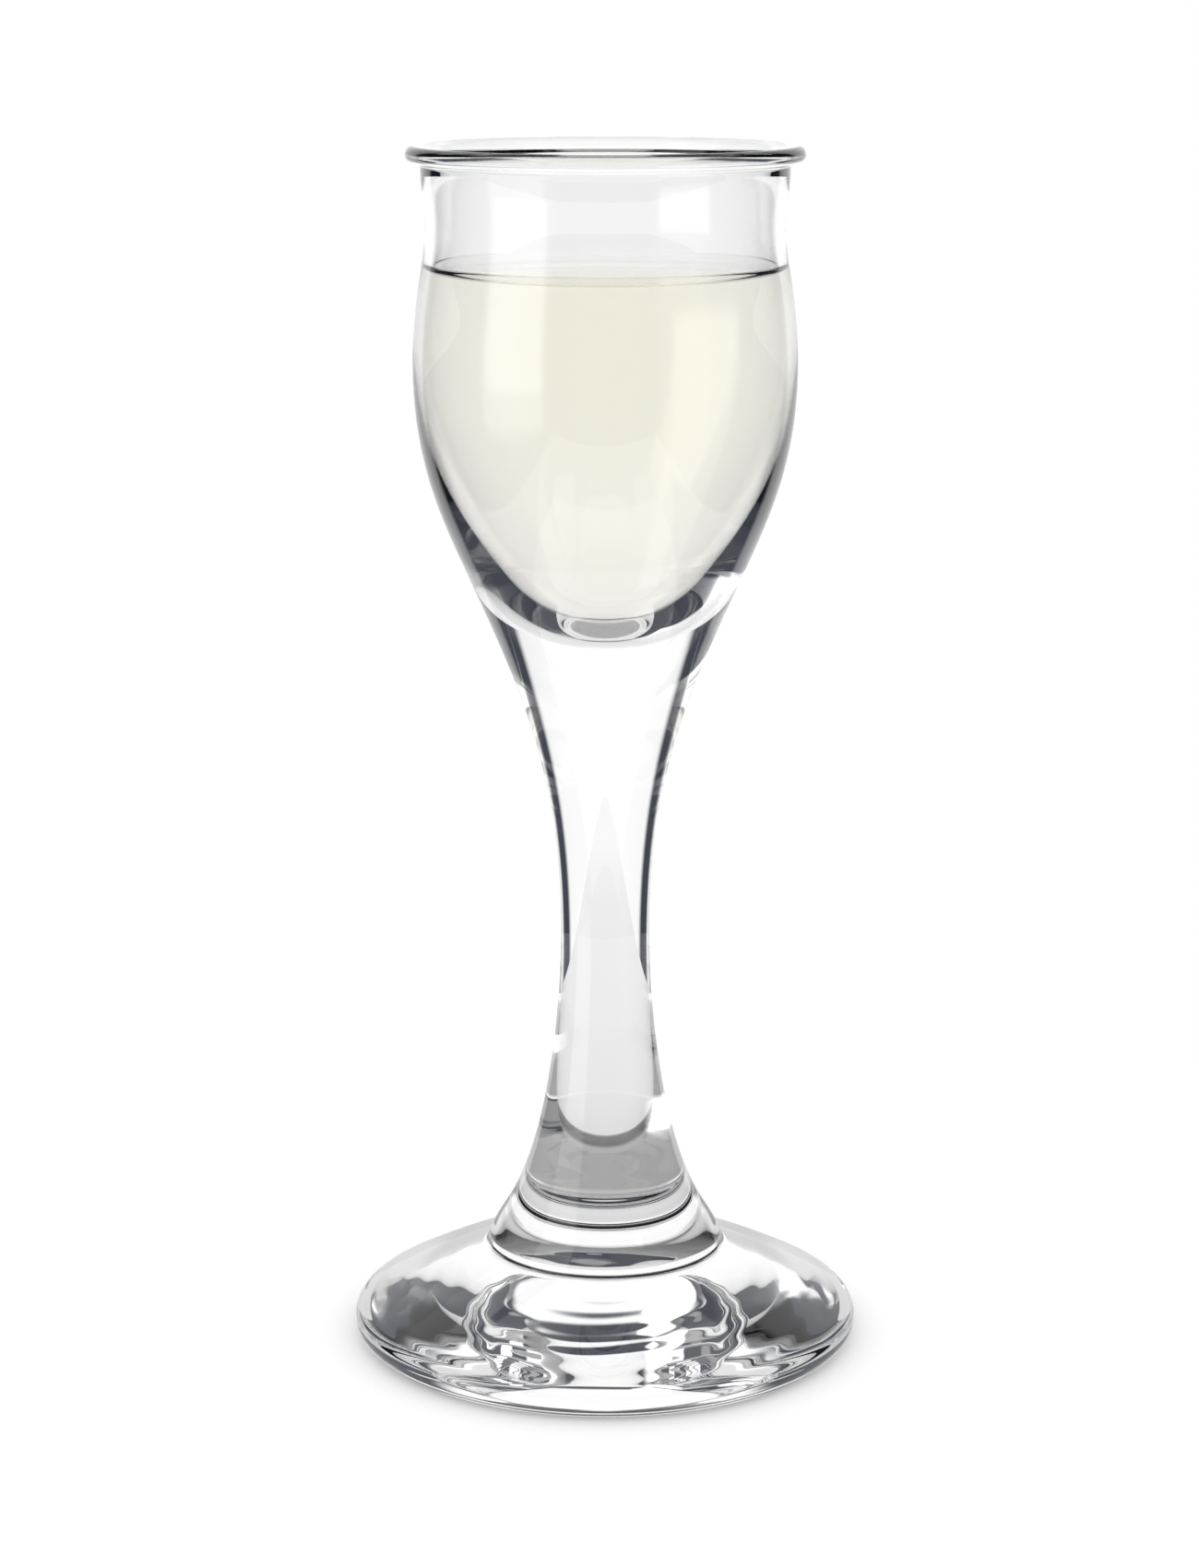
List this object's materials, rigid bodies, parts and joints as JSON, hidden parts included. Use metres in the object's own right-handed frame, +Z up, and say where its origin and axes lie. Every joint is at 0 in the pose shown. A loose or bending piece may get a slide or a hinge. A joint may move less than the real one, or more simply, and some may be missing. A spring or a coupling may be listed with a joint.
{
  "type": "schnapps glass",
  "caption": "Stemmed schnapps glass with an outward rolled rim, a tulip bowl that holds a pale drink, a drawn solid stem and a round sloping foot.",
  "frame": {"origin": "middle of the ring that the foot stands on, on the glass's axis", "axes": "+Z up along the stem, out of the mouth; the glass is round, so X and Y are any two level directions"},
  "size_m": [0.0542, 0.0542, 0.127],
  "materials": {
    "clear_glass": "clear, fire-polished",
    "pale_drink": "clear liquid, pale straw"
  },
  "bodies": {
    "root": {"glass": "clear_glass", "drink": "pale_drink"}
  },
  "joints": []
}
